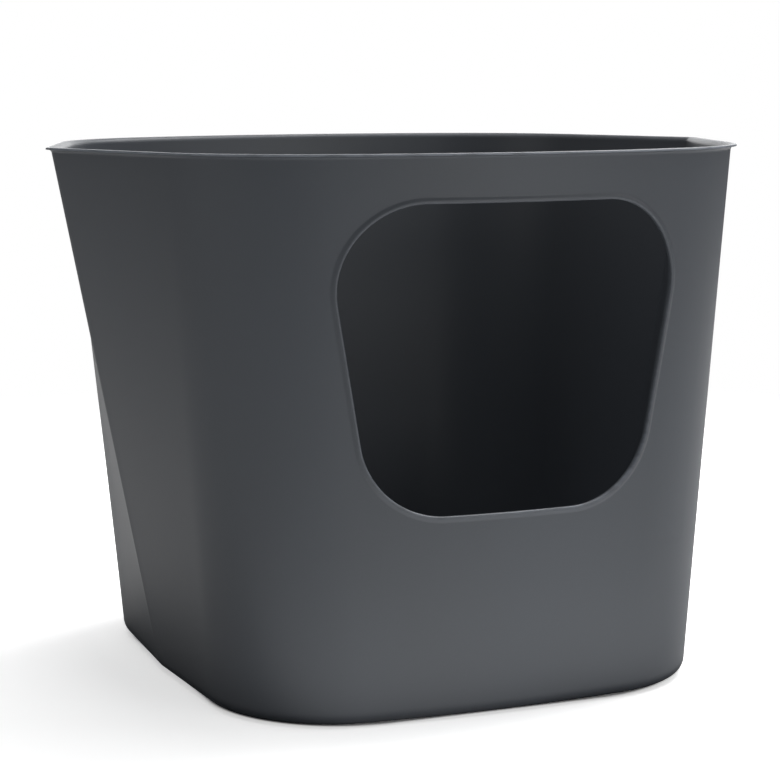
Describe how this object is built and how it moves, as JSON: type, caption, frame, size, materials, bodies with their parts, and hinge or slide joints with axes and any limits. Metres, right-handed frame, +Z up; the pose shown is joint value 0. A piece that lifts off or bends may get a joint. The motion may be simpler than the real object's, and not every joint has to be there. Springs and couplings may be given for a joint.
{
  "type": "litter box",
  "caption": "Open-topped, high-walled litter box: a moulded tub that widens towards a flanged rim, with a rounded entry opening in its front wall and soft feet.",
  "frame": {"origin": "centre of the rim in plan, on the surface that the box stands on", "axes": "+X to the right across the box, +Y from the entry towards the rear wall, +Z up"},
  "size_m": [0.541, 0.503, 0.4],
  "materials": {
    "tub_plastic": "satin, finely textured slate grey",
    "pad_rubber": "matte black"
  },
  "bodies": {
    "root": {"tub_shell": "tub_plastic", "foot_pad_front_left": "pad_rubber", "foot_pad_front_right": "pad_rubber", "foot_pad_rear_left": "pad_rubber", "foot_pad_rear_right": "pad_rubber"}
  },
  "joints": []
}
